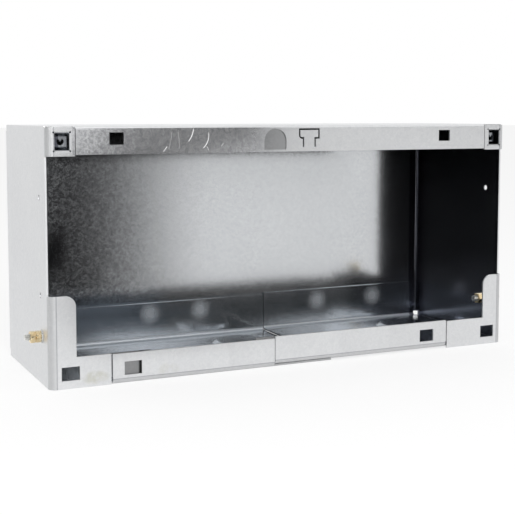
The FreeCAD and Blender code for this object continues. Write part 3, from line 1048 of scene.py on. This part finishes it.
def seen_at(graph, place):
    """The x on the back wall where a card's point shows, for a viewer mirrored in that wall."""
    point = split(graph, place)
    from_viewer = sums(graph, "SUBTRACT", VIEWER_Y, point["Y"])
    share = sums(graph, "DIVIDE", VIEWER_Y - BACK_WALL, from_viewer)
    beside = sums(graph, "SUBTRACT", point["X"], VIEWER_X)
    return sums(graph, "MULTIPLY_ADD", beside, share, VIEWER_X)


def card_material(name, tone, fade, one_sided, wall_fade, flecked):
    """A glow of one tone, or flecks of that tone on average, with clear parts that don't show."""
    material, graph = fresh_material(name)[:2]
    place = object_place(graph)
    strength = tone
    if flecked:
        fleck = chance_of(graph, cells(graph, place, FLECK_SIZE))
        strength = sums(graph, "MULTIPLY", sums(graph, "POWER", fleck, FLECK_POWER), FLECK_LIFT * tone)
    hidden = 0.0
    if one_sided:
        hidden = add(graph, "ShaderNodeNewGeometry").outputs["Backfacing"]
    if fade:
        across = split(graph, place)["X"]
        hidden = sums(graph, "MAXIMUM", hidden, between(graph, across, *fade))
    if wall_fade:
        hidden = sums(graph, "MAXIMUM", hidden, between(graph, seen_at(graph, place), *wall_fade))
    glow = add(graph, "ShaderNodeEmission", Strength=strength)
    mixed_surface(graph, hidden, glow, add(graph, "ShaderNodeBsdfTransparent"))
    return material


def flag(name, corners, tone, fade=None, one_sided=False, wall_fade=None, flecked=True):
    """A card that only mirrors see. It may fade out along X, or show from its front alone."""
    mesh = bpy.data.meshes.new(name)
    mesh.from_pydata(corners, [], [range(len(corners))])
    card = bpy.data.objects.new(name, mesh)
    bpy.context.scene.collection.objects.link(card)
    card.data.materials.append(card_material(name, tone, fade, one_sided, wall_fade, flecked))
    card.visible_camera = False
    card.visible_diffuse = False
    card.visible_shadow = False
    card.visible_transmission = False
    print(name, "tone:", tone)


print("flags can be made")

# %% How a flag stands
def facing_back(x, y, z):
    """The corners of an upright card across the view, its front to the back wall."""
    return [(x[1], y, z[0]), (x[0], y, z[0]), (x[0], y, z[1]), (x[1], y, z[1])]


def facing_right(x, y, z):
    """The corners of an upright card along the view, its front to the right."""
    return [(x, y[0], z[0]), (x, y[1], z[0]), (x, y[1], z[1]), (x, y[0], z[1])]


def facing_left(x, y, z):
    """The corners of an upright card along the view, its front to the left."""
    return [(x, y[1], z[0]), (x, y[0], z[0]), (x, y[0], z[1]), (x, y[1], z[1])]


def facing_down(x, y, z):
    """The corners of a level card above the view, its front to the floor."""
    return [(x[0], y[0], z), (x[0], y[1], z), (x[1], y[1], z), (x[1], y[0], z)]


print("flags can be stood up")

# %% Flags in front of the box
FRONT_LINE = -1.0
OVERHEAD = (0.215, 0.8)
MOUTH_CORNERS = [(0.10, -0.1, 0.018), (-0.158, -0.1, 0.018), (-0.008, -0.8, 0.155), (0.45, -0.8, 0.155)]
LOUVRES = 4
LOUVRE_START = 0.13
LOUVRE_STEP = 0.045
FOOT_DEPTH = (-0.28, -0.075)
FOOT_HEIGHT = 0.07

flag("front_flag", facing_back(x=(0.15, 0.53), y=FRONT_LINE, z=OVERHEAD), tone=0.01, fade=(0.5, 0.28))
flag("window_card", facing_back(x=(0.53, 0.69), y=FRONT_LINE, z=OVERHEAD), tone=0.7, flecked=False)
flag("far_flag", facing_back(x=(0.69, 1.6), y=FRONT_LINE, z=OVERHEAD), tone=0.01)
flag("flange_flag", facing_back(x=(-0.10, 0.11), y=-0.25, z=(0.162, 0.36)), tone=0.25, fade=(0.03, 0.11))
flag("mouth_flag", MOUTH_CORNERS, tone=0.10, wall_fade=(-0.15, -0.01))
flag("side_flag", facing_right(x=-0.06, y=(-1.2, -0.07), z=(0.0, 0.6)), tone=0.0, one_sided=True)
for step in range(LOUVRES):
    louvre_x = LOUVRE_START - LOUVRE_STEP * step
    flag(f"louvre_{step}", facing_right(x=louvre_x, y=(-0.3, -0.07), z=(0.0, 0.12)), tone=0.0, one_sided=True)
flag("lap_flag", facing_down(x=(0.07, 0.17), y=FOOT_DEPTH, z=FOOT_HEIGHT), tone=0.02, fade=(0.10, 0.07),
     one_sided=True)
flag("right_flag", facing_down(x=(0.27, 0.60), y=FOOT_DEPTH, z=FOOT_HEIGHT), tone=0.0, fade=(0.32, 0.27),
     one_sided=True)
flag("foot_flag", facing_down(x=(-0.30, -0.03), y=FOOT_DEPTH, z=FOOT_HEIGHT), tone=0.0, fade=(-0.07, -0.03),
     one_sided=True)
flag("left_card", facing_right(x=-1.2, y=(-1.6, 0.7), z=(0.0, 1.0)), tone=0.65)

# %% [markdown]
# ## Cards inside the box
# These cards paint light and shade into what the walls mirror. A glowing white card along the right
# end wall and one behind the right ear paint a reflection that widens the bright area of the back
# wall. Dark ones behind the top flange, in the left front corner and behind the right plate's
# flange are painted shade: they hide the bright room from the mirroring walls, so that small
# openings look dark and don't show as bright spots in the upstands.

# %% Cards inside the box
# Glowing white cards: a painted reflection inside the box.
flag("wall_reflection_card", facing_left(x=0.196, y=(-0.064, -0.002), z=(0.032, 0.166)), tone=1.0, one_sided=True,
     flecked=False)
flag("ear_reflection_card", facing_back(x=(0.168, 0.197), y=-0.061, z=(0.028, 0.076)), tone=1.0, one_sided=True,
     flecked=False)
# Dark cards: painted shade inside the box.
flag("top_shade_flag", facing_back(x=(-0.175, 0.175), y=-0.0645, z=(0.158, 0.188)), tone=0.0, one_sided=True,
     flecked=False)
flag("corner_shade_flag", facing_back(x=(-0.196, -0.12), y=-0.05, z=(0.03, 0.095)), tone=0.06, one_sided=True)
flag("hole_shade_card", facing_back(x=(-0.02, 0.199), y=-0.065, z=(0.003, 0.0225)), tone=0.05, one_sided=True,
     flecked=False)

# %% [markdown]
# ## Camera
# The box is seen from the front left and a little above. A long lens keeps the far end nearly as
# tall as the near one, and a small shift of the picture, as with a view camera, brings the box up
# in the frame without tilting the camera further.

# %% Camera
CAMERA_PLACE = (-0.3900, -0.8251, 0.1987)
CAMERA_DIP = math.radians(4.843)
CAMERA_TURN = math.radians(25.082)
SENSOR_WIDTH = 36.0
LENS_LENGTH = 75.88
LENS_SHIFT = -0.10

camera_data = bpy.data.cameras.new("camera")
camera_data.sensor_width = SENSOR_WIDTH
camera_data.lens = LENS_LENGTH
camera_data.shift_y = LENS_SHIFT
camera = bpy.data.objects.new("camera", camera_data)
bpy.context.scene.collection.objects.link(camera)
camera.location = CAMERA_PLACE
camera.rotation_euler = (math.radians(90) - CAMERA_DIP, 0, -CAMERA_TURN)
bpy.context.scene.camera = camera
bpy.context.scene.view_settings.view_transform = "Standard"
print("lens:", LENS_LENGTH, "mm")
